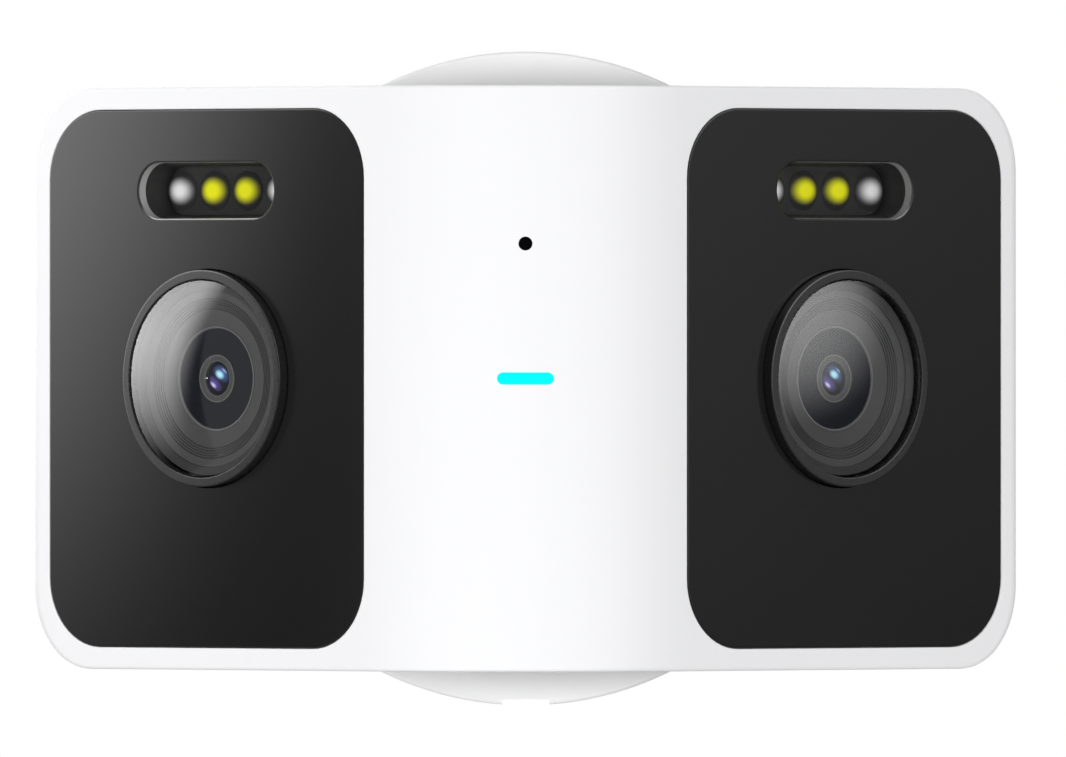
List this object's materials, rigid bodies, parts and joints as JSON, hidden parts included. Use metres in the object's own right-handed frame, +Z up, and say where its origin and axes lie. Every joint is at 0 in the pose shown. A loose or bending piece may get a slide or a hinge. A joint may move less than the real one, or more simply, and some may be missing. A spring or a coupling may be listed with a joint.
{
  "type": "floodlight security camera",
  "caption": "Wide-angle security camera with lenses and light windows on two angled wings, on a tilting, swivelling neck and a round wall base.",
  "frame": {"origin": "middle of the round base's back, on the wall, between its two wall screw slots", "axes": "+X to the right seen from the front, +Y into the wall, +Z up; the camera looks along -Y"},
  "size_m": [0.1772, 0.134, 0.119],
  "materials": {
    "shell": "satin white moulded housing, fine smooth surface",
    "panel": "dark glossy acrylic",
    "clear": "clear polished window",
    "diffuser": "frosted window",
    "lens_glass": "coated optical glass",
    "ring": "dark satin moulded ring",
    "hood": "matt black turned steps",
    "barrel": "gloss black lens barrel",
    "cup": "light reflector",
    "led_white": "phosphor over a diode, white",
    "led_warm": "phosphor over a diode, yellow",
    "status": "cyan status light",
    "board": "green circuit board",
    "chip": "moulded chip packages",
    "parts": "wound and moulded power parts",
    "rubber": "moulded rubber",
    "steel": "plated steel",
    "aluminium": "bare aluminium",
    "dark": "dark moulded plastic",
    "sensor": "image sensor under its cover glass",
    "filter": "coated filter in its frame"
  },
  "bodies": {
    "base": {"base_cover": "shell", "base_plate": "steel", "base_posts": "steel", "base_gasket": "rubber", "cover_screws": "steel", "power_board": "board", "power_parts": "parts", "terminal_block": "dark"},
    "neck": {"neck_knuckle": "shell", "tilt_bolt": "steel", "tilt_nut": "steel", "swivel_nut": "steel"},
    "head": {"front_shell": "shell", "rear_shell": "shell", "head_gasket": "rubber", "case_screws": "steel", "left_panel": "panel", "right_panel": "panel", "left_light_window": "diffuser", "right_light_window": "diffuser", "left_light_cup": "cup", "right_light_cup": "cup", "light_boards": "board", "white_leds": "led_white", "warm_leds": "led_warm", "left_lens_ring": "ring", "right_lens_ring": "ring", "left_dome_window": "clear", "right_dome_window": "clear", "left_lens_hood": "hood", "right_lens_hood": "hood", "left_lens_barrel": "barrel", "right_lens_barrel": "barrel", "left_lens_glass": "lens_glass", "right_lens_glass": "lens_glass", "left_lens_carrier": "dark", "right_lens_carrier": "dark", "carrier_screws": "steel", "sensor_boards": "board", "image_sensors": "sensor", "status_light_pipe": "status", "indicator_board": "board", "microphone": "steel", "microphone_boot": "rubber", "main_board": "board", "main_board_chips": "chip", "heat_spreader": "aluminium", "antennas": "dark", "speaker": "dark", "card_socket": "steel", "memory_card": "chip", "reset_switch": "chip", "head_bracket": "shell", "bracket_screws": "steel", "cable_grommet": "rubber", "tilt_washers": "dark"},
    "left_filter": {"left_ir_cut_filter": "filter"},
    "right_filter": {"right_ir_cut_filter": "filter"},
    "flap": {"service_flap": "shell"},
    "button": {"reset_button": "dark"}
  },
  "joints": [
    {"name": "mount_swivel", "type": "hinge", "parent": "base", "child": "neck", "pos_m": [0, -0.022, 0], "axis": [0, 1, 0], "range_deg": [-90, 90]},
    {"name": "head_tilt", "type": "hinge", "parent": "neck", "child": "head", "pos_m": [0, -0.04, 0], "axis": [1, 0, 0], "range_deg": [-15, 30]},
    {"name": "left_filter_slide", "type": "slide", "parent": "head", "child": "left_filter", "axis": [-0.7314, 0.682, 0], "range_m": [0, 0.007]},
    {"name": "right_filter_slide", "type": "slide", "parent": "head", "child": "right_filter", "axis": [0.7314, 0.682, 0], "range_m": [0, 0.007]},
    {"name": "service_flap_hinge", "type": "hinge", "parent": "head", "child": "flap", "pos_m": [0, -0.0779, -0.0516], "axis": [-1, 0, 0], "range_deg": [0, 90]},
    {"name": "reset_button_press", "type": "slide", "parent": "head", "child": "button", "axis": [0, 0, 1], "range_m": [0, 0.0004], "stiffness_N_per_m": 800}
  ]
}
